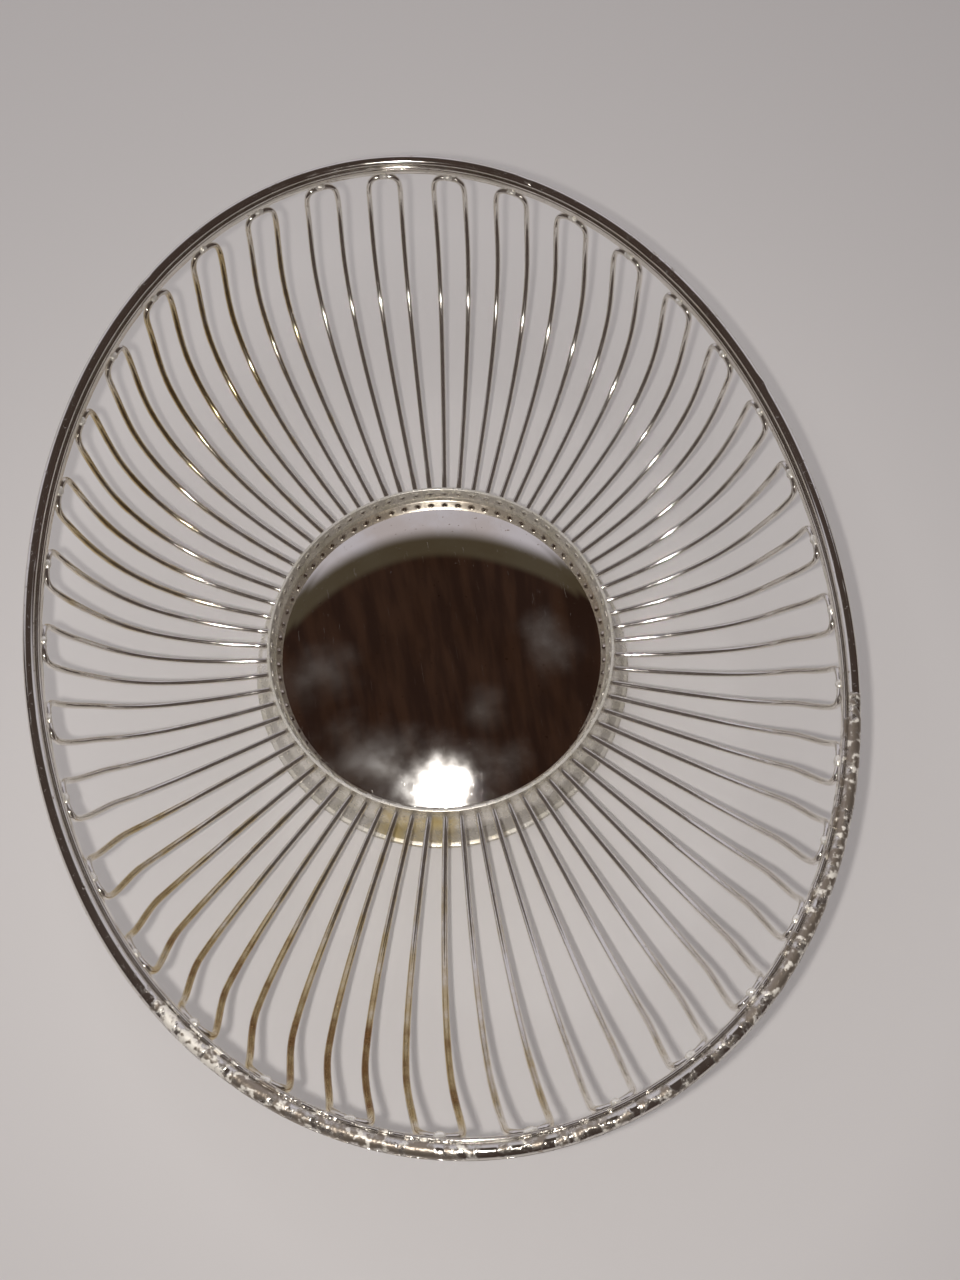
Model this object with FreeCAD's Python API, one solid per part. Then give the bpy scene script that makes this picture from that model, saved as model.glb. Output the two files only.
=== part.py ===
"""Oval silver-plated wire basket on a round foot: one STEP file for each piece it is soldered up from.

Millimetres. The origin is the middle of the foot's underside, +Z is up, +Y is along the oval's length
and +X across it. Angles are turned from +X towards +Y, in degrees.
"""
import FreeCAD, Part
import os
from math import atan2, cos, degrees, radians, sin, sqrt, tan

Vector = FreeCAD.Vector
UP = Vector(0, 0, 1)
CENTRE = Vector(0, 0, 0)

# Rim: an oval that rises towards both of its ends, like a shallow saddle.
RIM_HALF_LENGTH = 133.0
RIM_HALF_WIDTH = 104.2
RIM_UNDERSIDE = 63.8            # mean height of the rim's underside
RIM_RISE = 4.8                  # how far the ends stand above that mean, and the sides below it
RIM_FULLNESS = 0.4              # the oval bulges by twice this at its four corners, against a true ellipse
RIM_STATIONS = 48               # points that carry the rim's curve

# Rim section, from its outer edge inwards.
STRIP_WIDTH = 4.2
STRIP_THICK = 1.9
STRIP_SETBACK = 0.1             # how far the strip's edge sits inside the moulding's
LIP_WIDTH = 0.2
LIP_THICK = 0.35
ROUND_WIDTH = 3.1
ROUND_HEIGHT = 1.75
QUIRK_WIDTH = 0.15
BEAD_WIDTH = 0.6
BEAD_HEIGHT = 0.3

# Wires: hairpins, each with two legs and a rounded top.
HAIRPIN_COUNT = 36
HAIRPIN_PHASE = -1.3            # the set of hairpins is turned this much against the oval
HAIRPIN_DRIFT = 1.45            # hand spacing: the hairpins run ahead by this much on one side
DRIFT_SIDE = 240.0              # the angle where they are furthest ahead
EVEN_SHARE = 0.7                # 0 spaces them by equal angles, 1 by equal lengths of rim
WIRE_RADIUS = 0.85
LEG_SPREAD_LOW = 2.5            # each leg's angle from its hairpin's middle, at the collar
LEG_SPREAD_HIGH = 2.5           # and under the rim, as a share of its length
BACK_TURN = 2.6                 # a leg's first run turns back by this much where the drift is most
FLANK_TURN = 1.8                # and by this much on the oval's four flanks
WIRE_INSET = 3.9                # from the rim's outer edge in to the hairpin tops
LEG_RUN_OUT = 1.05              # how far a leg heads straight out, in shares of its whole run
LEG_RISE_OUT = 0.15             # how much of its height it has gained there
LEG_TUCK = 0.10                 # how far inside the rim a leg turns up, in shares of its run
LEG_RISE_TUCK = 1.00
UPRIGHT_FROM = 0.50             # between these shares a leg is drawn out towards its place under the rim,
UPRIGHT_TO = 0.90                # so that its top stands nearly upright
UPRIGHT_PULL = 0.80
ARCH_START = 0.78               # share of the leg where the hairpin's top starts to close
LEG_STEPS = (0.0, 0.12, 0.25, 0.38, 0.52, 0.65, 0.76)
ARCH_STEPS = (0.85, 0.92, 0.965)
BEND_SHARE = 0.45               # share of the shorter run that each bend takes up

# Collar: the upright band around the dome that the wires are let into.
COLLAR_RADIUS = 51.0            # outside, at its top edge
COLLAR_THICK = 0.8
COLLAR_TOP = 19.5
COLLAR_FLARE = 0.9              # how much wider the top is than the bottom
COLLAR_BOTTOM = 13.0
LEDGE_INNER_RADIUS = 47.0
LEDGE_TOP = 13.8
WIRE_HEIGHT = 17.3              # where the legs pass through the collar
HOLE_RADIUS = 0.9
WIRE_STUB = 0.35                # length of each wire's end inside the collar
SOLDER_RADIUS = 1.15            # ring of solder around each stub
SOLDER_HEIGHT = 0.5

# Dome: the low polished boss in the middle.
DOME_RADIUS = 49.1
DOME_EDGE_TOP = 14.9
DOME_RISE = 6.5
DOME_THICK = 0.8
SEAT_CLEARANCE = 0.3            # how far the dome's flat seat laps inside the collar's ledge

# Foot: a hollow flared skirt on a flat ring.
SKIRT_TOP_RADIUS = 50.0
SKIRT_WAIST_RADIUS = 51.2
SKIRT_WAIST_HEIGHT = 6.5
SKIRT_FOOT_RADIUS = 56.2
SKIRT_THICK = 0.8
RING_OUTER_RADIUS = 57.6
RING_INNER_RADIUS = 54.4
RING_THICK = 1.1

# Solder spots that hold the hairpin tops to the rim.
SPOT_RADIUS = 1.3
SPOT_DROP = 0.55


def rim_point(angle, inset=0.0, lift=0.0):
    """Point on the rim's outer edge at the oval's own angle, moved in by inset and up by lift."""
    turn = radians(angle)
    edge = Vector(RIM_HALF_WIDTH * cos(turn), RIM_HALF_LENGTH * sin(turn), 0)
    inward = Vector(-cos(turn) / RIM_HALF_WIDTH, -sin(turn) / RIM_HALF_LENGTH, 0).normalize()
    height = RIM_UNDERSIDE - RIM_RISE * cos(2 * turn) + lift
    fullness = RIM_FULLNESS * (1 - cos(4 * turn))
    return edge + inward * (inset - fullness) + UP * height


def oval_angle(spaced_angle):
    """The oval's own angle for a hairpin: most of the way from equal angles to equal lengths of rim."""
    slimness = (RIM_HALF_LENGTH - RIM_HALF_WIDTH) / (RIM_HALF_LENGTH + RIM_HALF_WIDTH)
    return spaced_angle - EVEN_SHARE * degrees(slimness / 2 * sin(2 * radians(spaced_angle)))


def hairpin_top(spaced_angle, inset, lift):
    """Point by the rim at a hairpin's place around it, moved in by inset and up by lift."""
    return rim_point(oval_angle(spaced_angle), inset, lift)


def straight(start, end):
    return Part.LineSegment(start, end).toShape()


def arc(start, middle, end):
    return Part.Arc(start, middle, end).toShape()


def turned(edges):
    """Solid of revolution about Z from the closed outline given by edges in the XZ plane."""
    return Part.Face(Part.Wire(edges)).revolve(CENTRE, UP, 360)


def outline(points):
    """Closed outline of straight edges through (x, z) pairs."""
    corners = [Vector(x, 0, z) for x, z in points]
    return [straight(a, b) for a, b in zip(corners, corners[1:] + corners[:1])]


def carried_around_rim(section):
    """Sweep a closed section, drawn where the rim crosses +X, once around the rim."""
    stations = [rim_point(360.0 * i / RIM_STATIONS) for i in range(RIM_STATIONS)]
    path = Part.BSplineCurve()
    path.interpolate(Points=stations, PeriodicFlag=True)
    sweep = Part.BRepOffsetAPI.MakePipeShell(Part.Wire(path.toShape()))
    sweep.setBiNormalMode(UP)
    sweep.add(Part.Wire(section))
    sweep.build()
    sweep.makeSolid()
    return sweep.shape()


def section_point(inset, height):
    """Point of the rim's section where it crosses +X, from its outer edge and its underside."""
    return rim_point(0, inset, height)


def rim_strip():
    """Square-edged band under the rim that the hairpins are soldered to."""
    corners = [section_point(*p) for p in ((STRIP_SETBACK, 0), (STRIP_WIDTH, 0),
                                           (STRIP_WIDTH, STRIP_THICK), (STRIP_SETBACK, STRIP_THICK))]
    return carried_around_rim([straight(a, b) for a, b in zip(corners, corners[1:] + corners[:1])])


def rim_moulding():
    """Moulding on the strip: an outer lip, a half-round, a groove and a small inner bead."""
    low = STRIP_THICK
    ledge = low + LIP_THICK
    round_end = LIP_WIDTH + ROUND_WIDTH
    bead_start = round_end + QUIRK_WIDTH
    bead_end = bead_start + BEAD_WIDTH
    outer_foot = section_point(0, low)
    outer_lip = section_point(0, ledge)
    round_from = section_point(LIP_WIDTH, ledge)
    round_top = section_point(LIP_WIDTH + ROUND_WIDTH / 2, ledge + ROUND_HEIGHT)
    round_to = section_point(round_end, ledge)
    bead_from = section_point(bead_start, ledge)
    bead_top = section_point(bead_start + BEAD_WIDTH / 2, ledge + BEAD_HEIGHT)
    bead_to = section_point(bead_end, ledge)
    inner_foot = section_point(bead_end, low)
    return carried_around_rim([
        straight(outer_foot, outer_lip),
        straight(outer_lip, round_from),
        arc(round_from, round_top, round_to),
        straight(round_to, bead_from),
        arc(bead_from, bead_top, bead_to),
        straight(bead_to, inner_foot),
        straight(inner_foot, outer_foot),
    ])


def leg_point(share, middle_angle, side):
    """Point on a leg's centre line, from its end in the collar (share 0) to the hairpin's top (share 1).

    In plan and in height the leg is a cubic curve: it leaves the collar nearly radially and almost
    level, and turns up close inside the rim. It is then drawn out to stand under the rim. Past
    ARCH_START the two legs close on each other along a quarter of an ellipse.
    """
    low_angle = radians(middle_angle + side * LEG_SPREAD_LOW)
    closing = max(0.0, (share - ARCH_START) / (1 - ARCH_START))
    spread = LEG_SPREAD_HIGH * sqrt(max(0.0, 1 - closing ** 2))
    top = hairpin_top(middle_angle + side * spread, WIRE_INSET, -WIRE_RADIUS)
    radial = Vector(cos(low_angle), sin(low_angle), 0)
    start = radial * collar_inner_radius(WIRE_HEIGHT) + UP * WIRE_HEIGHT
    run = top - start
    climb = run.z
    run.z = 0
    heading = low_angle - radians(BACK_TURN * cos(radians(middle_angle - DRIFT_SIDE))
                                  + FLANK_TURN * sin(radians(2 * middle_angle)))
    outward = Vector(cos(heading), sin(heading), 0)
    out = start + outward * (LEG_RUN_OUT * run.Length) + UP * (LEG_RISE_OUT * climb)
    tuck = start + run * (1 - LEG_TUCK) + UP * (LEG_RISE_TUCK * climb)
    rest = 1 - share
    point = (start * rest ** 3 + out * (3 * share * rest ** 2)
             + tuck * (3 * share ** 2 * rest) + top * share ** 3)
    drawn = min(1.0, max(0.0, (share - UPRIGHT_FROM) / (UPRIGHT_TO - UPRIGHT_FROM)))
    pull = UPRIGHT_PULL * drawn ** 2 * (3 - 2 * drawn)
    aside = top - point
    aside.z = 0
    return point + aside * pull


def bent_path(points):
    """Wire of straight runs joined by tangent arcs, one arc at each inner point."""
    edges = []
    here = points[0]
    for before, corner, after in zip(points, points[1:], points[2:]):
        way_in = (corner - before).normalize()
        way_out = (after - corner).normalize()
        reach = BEND_SHARE * min((corner - before).Length, (after - corner).Length)
        half_turn = way_in.getAngle(way_out) / 2
        radius = reach / tan(half_turn)
        arc_start = corner - way_in * reach
        arc_end = corner + way_out * reach
        arc_middle = corner + (way_out - way_in).normalize() * (radius / cos(half_turn) - radius)
        edges.append(straight(here, arc_start))
        edges.append(arc(arc_start, arc_middle, arc_end))
        here = arc_end
    edges.append(straight(here, points[-1]))
    return Part.Wire(edges)


def round_wire(points):
    """Solid round wire along bent_path."""
    path = bent_path(points)
    section = Part.Wire(Part.makeCircle(WIRE_RADIUS, points[0], points[1] - points[0]))
    return path.makePipeShell([section], True, False)


def stub_end(middle_angle, side):
    """The wire's cut end, just inside the collar."""
    start = leg_point(0, middle_angle, side)
    way = (leg_point(LEG_STEPS[1], middle_angle, side) - start).normalize()
    return start - way * WIRE_STUB


def hairpin(middle_angle):
    """One bent wire: up one leg from the collar, over under the rim and down the other leg."""
    legs = []
    for side in (-1, 1):
        leg = [stub_end(middle_angle, side)]
        leg += [leg_point(s, middle_angle, side) for s in LEG_STEPS[1:] + ARCH_STEPS]
        legs.append(leg)
    top = leg_point(1, middle_angle, 1)
    return round_wire(legs[0] + [top] + legs[1][::-1])


def collar_inner_radius(height):
    """Radius of the collar's inner face at a height: it widens evenly up to its top edge."""
    share = (height - COLLAR_BOTTOM) / (COLLAR_TOP - COLLAR_BOTTOM)
    return COLLAR_RADIUS - COLLAR_THICK - COLLAR_FLARE * (1 - share)


def collar_body():
    """The collar before it is drilled: a leaning band with a ledge inside its foot."""
    bottom_inner = collar_inner_radius(COLLAR_BOTTOM)
    return turned(outline([
        (LEDGE_INNER_RADIUS, COLLAR_BOTTOM),
        (bottom_inner + COLLAR_THICK, COLLAR_BOTTOM),
        (COLLAR_RADIUS, COLLAR_TOP),
        (COLLAR_RADIUS - COLLAR_THICK, COLLAR_TOP),
        (collar_inner_radius(LEDGE_TOP), LEDGE_TOP),
        (LEDGE_INNER_RADIUS, LEDGE_TOP),
    ]))


def collar_band(middles):
    """The collar with one hole for each leg."""
    holes = []
    for middle_angle in middles:
        for side in (-1, 1):
            start = leg_point(0, middle_angle, side)
            way = (leg_point(LEG_STEPS[1], middle_angle, side) - start).normalize()
            length = 4 * COLLAR_THICK
            holes.append(Part.makeCylinder(HOLE_RADIUS, length, start - way * (length / 2), way))
    return collar_body().cut(holes)


def wire_end_solder(middles):
    """A low ring of solder around each wire's end, on the collar's inner face."""
    cap_radius = (SOLDER_RADIUS ** 2 + SOLDER_HEIGHT ** 2) / (2 * SOLDER_HEIGHT)
    cap_start = degrees(atan2(cap_radius - SOLDER_HEIGHT, SOLDER_RADIUS))
    rings = []
    for middle_angle in middles:
        for side in (-1, 1):
            start = leg_point(0, middle_angle, side)
            way = (leg_point(LEG_STEPS[1], middle_angle, side) - start).normalize()
            centre = start + way * (cap_radius - SOLDER_HEIGHT)
            cap = Part.makeSphere(cap_radius, centre, way * -1, cap_start, 90, 360)
            wire = Part.makeCylinder(WIRE_RADIUS, 4 * SOLDER_HEIGHT, start + way * SOLDER_HEIGHT, way * -1)
            rings.append(cap.cut(wire))
    return Part.makeCompound(rings)


def rim_solder(middles):
    """A spot of solder on each hairpin's top, filling the angle between it and the strip."""
    spots = []
    for middle_angle in middles:
        wire_centre = hairpin_top(middle_angle, WIRE_INSET, -WIRE_RADIUS)
        ahead = hairpin_top(middle_angle + 1, WIRE_INSET, -WIRE_RADIUS)
        along = (ahead - wire_centre).normalize()
        spot = Part.makeSphere(SPOT_RADIUS, hairpin_top(middle_angle, WIRE_INSET, -SPOT_DROP))
        wire = Part.makeCylinder(WIRE_RADIUS, 4 * SPOT_RADIUS, wire_centre - along * (2 * SPOT_RADIUS), along)
        corner = hairpin_top(middle_angle, WIRE_INSET, 0) - Vector(2 * SPOT_RADIUS, 2 * SPOT_RADIUS, 0)
        strip = Part.makeBox(4 * SPOT_RADIUS, 4 * SPOT_RADIUS, 2 * SPOT_RADIUS, corner)
        spots += spot.cut([wire, strip]).Solids
    return Part.makeCompound(spots)


def dome_drop(radius):
    """How far the dome has fallen from its highest point at a radius: it is part of a sphere."""
    sphere = (DOME_RADIUS ** 2 + DOME_RISE ** 2) / (2 * DOME_RISE)
    return sphere - sqrt(sphere ** 2 - radius ** 2)


def dome_arc(crown, edge_radius):
    """Arc of the dome in the XZ plane, from its crown on the axis out to edge_radius."""
    half = edge_radius / 2
    return arc(Vector(0, 0, crown),
               Vector(half, 0, crown - dome_drop(half)),
               Vector(edge_radius, 0, crown - dome_drop(edge_radius)))


def dome_plate():
    """Low domed plate with a flat seat around its underside."""
    seat_radius = LEDGE_INNER_RADIUS - SEAT_CLEARANCE
    crown = DOME_EDGE_TOP + DOME_RISE
    under_crown = crown - DOME_THICK
    under_edge = Vector(seat_radius, 0, under_crown - dome_drop(seat_radius))
    seat_inner = Vector(seat_radius, 0, LEDGE_TOP)
    seat_outer = Vector(DOME_RADIUS, 0, LEDGE_TOP)
    return turned([
        dome_arc(crown, DOME_RADIUS),
        straight(Vector(DOME_RADIUS, 0, DOME_EDGE_TOP), seat_outer),
        straight(seat_outer, seat_inner),
        straight(seat_inner, under_edge),
        dome_arc(under_crown, seat_radius),
        straight(Vector(0, 0, under_crown), Vector(0, 0, crown)),
    ])


def foot_skirt():
    """Hollow skirt that flares out from under the collar to the ring it stands on."""
    top_out = Vector(SKIRT_TOP_RADIUS, 0, COLLAR_BOTTOM)
    waist_out = Vector(SKIRT_WAIST_RADIUS, 0, SKIRT_WAIST_HEIGHT)
    foot_out = Vector(SKIRT_FOOT_RADIUS, 0, RING_THICK)
    inward = Vector(-SKIRT_THICK, 0, 0)
    return turned([
        arc(top_out, waist_out, foot_out),
        straight(foot_out, foot_out + inward),
        arc(foot_out + inward, waist_out + inward, top_out + inward),
        straight(top_out + inward, top_out),
    ])


def foot_ring():
    """Flat ring with a rounded outer edge that the basket stands on."""
    edge = RING_OUTER_RADIUS - RING_THICK / 2
    return turned([
        straight(Vector(RING_INNER_RADIUS, 0, 0), Vector(edge, 0, 0)),
        arc(Vector(edge, 0, 0), Vector(RING_OUTER_RADIUS, 0, RING_THICK / 2), Vector(edge, 0, RING_THICK)),
        straight(Vector(edge, 0, RING_THICK), Vector(RING_INNER_RADIUS, 0, RING_THICK)),
        straight(Vector(RING_INNER_RADIUS, 0, RING_THICK), Vector(RING_INNER_RADIUS, 0, 0)),
    ])


def hairpin_middle(index):
    """Angle of a hairpin's middle: even steps, with the drift of spacing by hand."""
    even = HAIRPIN_PHASE + 360.0 * index / HAIRPIN_COUNT
    return even + HAIRPIN_DRIFT * cos(radians(even - DRIFT_SIDE))


def main():
    middles = [hairpin_middle(i) for i in range(HAIRPIN_COUNT)]
    hairpins = [hairpin(angle) for angle in middles]
    pieces = {f"hairpin_{i + 1:02d}": wire for i, wire in enumerate(hairpins)}
    pieces["rim_strip"] = rim_strip()
    pieces["rim_moulding"] = rim_moulding()
    pieces["rim_solder"] = rim_solder(middles)
    pieces["collar_band"] = collar_band(middles)
    pieces["wire_end_solder"] = wire_end_solder(middles)
    pieces["dome_plate"] = dome_plate()
    pieces["foot_skirt"] = foot_skirt()
    pieces["foot_ring"] = foot_ring()
    os.makedirs("parts", exist_ok=True)
    for name, shape in pieces.items():
        shape.exportStep(f"parts/{name}.step")
        print(f"{name:18s} solids {len(shape.Solids):3d}  volume {shape.Volume:9.1f}  valid {shape.isValid()}")


main()
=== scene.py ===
# %% [markdown]
# # An oval wire basket in silver plate
# The basket is soldered up from drawn wire, rolled strip and spun sheet, all silver plated. Thirty-six hairpins
# of round wire stand in a drilled collar and flare out to a moulded rim. A low mirror-bright dome fills the
# middle, and a hollow skirt on a flat ring carries it. Each step below says what a piece is on the real basket,
# how it could be modelled and why it is made the way it is.

# %% [markdown]
# ## The imported model
# The imported model is the fixed frame: it says how large the basket is and where each piece sits. Its pieces
# are loaded, and each piece's placing is applied to its points.

# %% Load the frame
import bpy
import numpy as np
from mathutils import Matrix, Vector


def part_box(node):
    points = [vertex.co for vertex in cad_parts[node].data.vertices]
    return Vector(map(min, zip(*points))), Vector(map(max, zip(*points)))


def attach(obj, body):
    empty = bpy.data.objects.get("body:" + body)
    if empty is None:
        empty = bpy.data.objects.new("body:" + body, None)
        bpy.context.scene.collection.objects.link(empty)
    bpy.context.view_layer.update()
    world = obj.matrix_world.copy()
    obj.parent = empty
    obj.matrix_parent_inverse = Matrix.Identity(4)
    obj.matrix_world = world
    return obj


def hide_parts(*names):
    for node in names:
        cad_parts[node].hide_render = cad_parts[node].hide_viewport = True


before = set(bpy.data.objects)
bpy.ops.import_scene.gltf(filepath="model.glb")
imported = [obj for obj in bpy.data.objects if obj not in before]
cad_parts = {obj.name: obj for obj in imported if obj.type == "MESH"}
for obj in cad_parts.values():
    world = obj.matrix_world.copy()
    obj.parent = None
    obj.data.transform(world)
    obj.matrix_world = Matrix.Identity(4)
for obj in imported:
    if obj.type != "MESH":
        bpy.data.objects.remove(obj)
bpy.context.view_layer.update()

# %% [markdown]
# ## Camera
# The basket is looked at from above and from a little in front, close enough for the near rim to look larger
# than the far one. The camera is placed from where it stands and the two directions that fix its turn.

# %% Camera
MM = 0.001
EYE = Vector((-0.0077, -0.1105, 0.3007))
LOOK = Vector((0.063, 0.359, -0.931)).normalized()
HEAD = Vector((0.157, 0.918, 0.364))
LENS, NEAREST = 28.94, 0.01

side = LOOK.cross(HEAD).normalized()
head = side.cross(LOOK)
camera_data = bpy.data.cameras.new("basket_camera")
camera_data.lens = LENS
camera_data.clip_start = NEAREST
camera = bpy.data.objects.new("basket_camera", camera_data)
camera.matrix_world = Matrix.Translation(EYE) @ Matrix((side, head, -LOOK)).transposed().to_4x4()
bpy.context.scene.collection.objects.link(camera)
bpy.context.scene.camera = camera

# %% [markdown]
# ## One way to make every surface
# Wire, rolled strip and spun sheet have one thing in common: a closed outline is carried along a path. So one
# helper can skin them all. It takes rings of points as one numpy array, joins each ring to the next, and either
# joins the last ring to the first or closes both ends with a middle point. The outward side is found from the
# sign of the enclosed volume, so no face is ever left inside out.

# %% Skin rings of points
def ring_faces(stations, around, closed):
    """Faces through numbered rings: ring i, place j joins ring i + 1, place j + 1, wrapping round each ring."""
    number = np.arange(stations * around).reshape(stations, around)
    here = number if closed else number[:-1]
    after = np.roll(number, -1, axis=0) if closed else number[1:]
    quads = np.stack([here, np.roll(here, -1, axis=1), np.roll(after, -1, axis=1), after], axis=-1).reshape(-1, 4)
    if closed:
        return quads, np.zeros((0, 3), int)
    first, last = stations * around, stations * around + 1
    start = np.stack([np.full(around, first), np.roll(number[0], -1), number[0]], axis=-1)
    end = np.stack([np.full(around, last), number[-1], np.roll(number[-1], -1)], axis=-1)
    return quads, np.concatenate([start, end])


def enclosed_volume(points, quads, triangles):
    """Sum over the faces of corner . (corner x corner) / 6, which is the volume they close."""
    faces = np.concatenate([quads[:, [0, 1, 2]], quads[:, [0, 2, 3]], triangles])
    a, b, c = (points[faces[:, i]] for i in range(3))
    return float(np.einsum("ij,ij->i", a, np.cross(b, c)).sum() / 6)


def skin(name, rings, closed, marks=None, crease=35.0):
    """A piece from rings[body, station, around, xyz]. marks are named values, one for each ring point."""
    if rings.ndim == 3:
        rings = rings[None]
        marks = {key: value[None] for key, value in (marks or {}).items()}
    bodies, stations, around, _ = rings.shape
    quads, triangles = ring_faces(stations, around, closed)
    flat = rings.reshape(bodies, -1, 3)
    if not closed:
        ends = np.stack([rings[:, 0].mean(axis=1), rings[:, -1].mean(axis=1)], axis=1)
        flat = np.concatenate([flat, ends], axis=1)
    if enclosed_volume(flat[0], quads, triangles) < 0:
        quads, triangles = quads[:, ::-1], triangles[:, ::-1]
    step = flat.shape[1] * np.arange(bodies)[:, None, None]
    all_quads = (quads[None] + step).reshape(-1, 4)
    all_triangles = (triangles[None] + step).reshape(-1, 3)
    mesh = bpy.data.meshes.new(name)
    mesh.from_pydata(flat.reshape(-1, 3).tolist(), [], all_quads.tolist() + all_triangles.tolist())
    for key, value in (marks or {}).items():
        spread = np.broadcast_to(value, (bodies, stations, around)).reshape(bodies, -1)
        if not closed:
            spread = np.concatenate([spread, spread[:, :1], spread[:, -1:]], axis=1)
        mesh.attributes.new(key, "FLOAT", "POINT").data.foreach_set("value", spread.astype(np.float32).ravel())
    mesh.shade_smooth()
    mesh.set_sharp_from_angle(angle=np.radians(crease))
    piece = bpy.data.objects.new(name, mesh)
    bpy.context.scene.collection.objects.link(piece)
    return piece


def place(piece, stands_for, finish):
    """The piece rides on the basket, takes its finish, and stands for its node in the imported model."""
    piece.data.materials.append(finish)
    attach(piece, "root")
    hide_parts(stands_for)
    return piece


print("skin() is ready")

# %% [markdown]
# Hand work is never quite even. Smooth made-up unevenness comes from adding a few sine waves with whole numbers
# of turns, so that it closes on itself, and with phases from a seeded random generator, so that it is the same
# on every run. A soft window picks out one part of a circle, such as the worn side of the rim.

# %% Unevenness and soft windows
def waves(angle, turns, seed):
    """Sum over the turns of sin(turn x angle + phase) / turn, scaled to stay within about 1."""
    turns = np.asarray(turns, float)
    phase = np.random.default_rng(seed).uniform(0, 2 * np.pi, len(turns))
    total = (np.sin(angle[..., None] * turns + phase) / turns).sum(axis=-1)
    return total / (1 / turns).sum()


def window(angle, middle, half_width, soft):
    """1 within half_width degrees of middle, falling to 0 over soft degrees, by a smooth step."""
    away = np.abs((np.degrees(angle) - middle + 180) % 360 - 180)
    fall = np.clip((half_width + soft - away) / soft, 0, 1)
    return fall * fall * (3 - 2 * fall)


print("waves() and window() are ready")

# %% [markdown]
# ## The finishes
# Silver plate is a mirror, so most of what is seen on it is the room. What makes it look old is what sits on it:
# yellow-brown tarnish, milky clouds where polish dried, fine scratches, pits, and bald patches where the plate
# has worn through. A small helper adds shader nodes and wires them up, and each finish then reads the piece's own
# coordinates, and marks for the places where wear or tarnish gathers.

# %% A helper for shader nodes
def add(tree, kind, inputs=None, **settings):
    """A shader node with its settings, and its inputs either linked to a socket or set to a value."""
    made = tree.nodes.new(kind)
    for key, value in settings.items():
        setattr(made, key, value)
    for key, value in (inputs or {}).items():
        if isinstance(value, bpy.types.NodeSocket):
            tree.links.new(value, made.inputs[key])
        else:
            made.inputs[key].default_value = value
    return made


def new_finish(name, **values):
    """A material with its shader's constant values set on the shader's own sockets."""
    material = bpy.data.materials.new(name)
    material.use_nodes = True
    shader = material.node_tree.nodes["Principled BSDF"]
    for key, value in values.items():
        shader.inputs[key.replace("_", " ")].default_value = value
    return material, material.node_tree, shader


def spots(tree, where, size, detail=4.0, rough=0.55):
    """Noise from 0 to 1 whose blots are about size metres across."""
    return add(tree, "ShaderNodeTexNoise", {"Vector": where, "Scale": 1 / size, "Detail": detail,
                                            "Roughness": rough}).outputs["Fac"]


def between(tree, value, low, high, to_low=0.0, to_high=1.0):
    """The value moved from the range low..high to to_low..to_high with a smooth step, and held there."""
    return add(tree, "ShaderNodeMapRange", {"Value": value, "From Min": low, "From Max": high, "To Min": to_low,
                                            "To Max": to_high}, interpolation_type="SMOOTHSTEP").outputs["Result"]


def work(tree, kind, a, b, clamp=False):
    """One sum of two values, such as MULTIPLY."""
    made = add(tree, "ShaderNodeMath", {0: a, 1: b}, operation=kind)
    made.use_clamp = clamp
    return made.outputs["Value"]


def colour_mix(tree, share, a, b):
    """Colour a where share is 0 and b where it is 1. The mix node keeps its colours in sockets 6 and 7."""
    made = tree.nodes.new("ShaderNodeMix")
    made.data_type = "RGBA"
    for index, value in ((0, share), (6, a), (7, b)):
        if isinstance(value, bpy.types.NodeSocket):
            tree.links.new(value, made.inputs[index])
        else:
            made.inputs[index].default_value = value
    return made.outputs[2]


def mark(tree, name):
    """A mark that was painted on the mesh as a named value."""
    return add(tree, "ShaderNodeAttribute", attribute_name=name).outputs["Fac"]


def here(tree):
    """The piece's own coordinates."""
    return add(tree, "ShaderNodeTexCoord").outputs["Object"]


def dents(tree, shader, height, depth):
    """Relief of depth metres from a height of 0 to 1, put on the shader."""
    bump = add(tree, "ShaderNodeBump", {"Height": height, "Distance": depth, "Strength": 1.0})
    tree.links.new(bump.outputs["Normal"], shader.inputs["Normal"])


BRIGHT = (0.88, 0.85, 0.80, 1)
STRAW = (0.62, 0.50, 0.28, 1)
BROWN = (0.30, 0.17, 0.07, 1)
PIT = (0.07, 0.045, 0.03, 1)
DULL = (0.34, 0.29, 0.24, 1)
CHALK = (0.86, 0.82, 0.74, 1)
OLIVE = (0.60, 0.57, 0.45, 1)
print("node helpers are ready")

# %% [markdown]
# ### Rim plate
# The rim takes the knocks. Most of it is smooth plate with faint pitting, but on the near flanks the plate has
# blistered and rubbed through, which leaves chalky pale patches with dull brown between them. The mark "wear" says
# where, and two sizes of noise break its edge up. Worn plate is part metal and part powder, so it is less of a
# mirror. The mark "cream" adds to the pale share.

# %% Rim finish
BLOT_SIZE, BLISTER_SIZE, SPECK_SIZE, TONE_SIZE = 3.2 * MM, 1.7 * MM, 1.1 * MM, 14 * MM
BLISTER_DEPTH = 0.25 * MM


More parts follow.
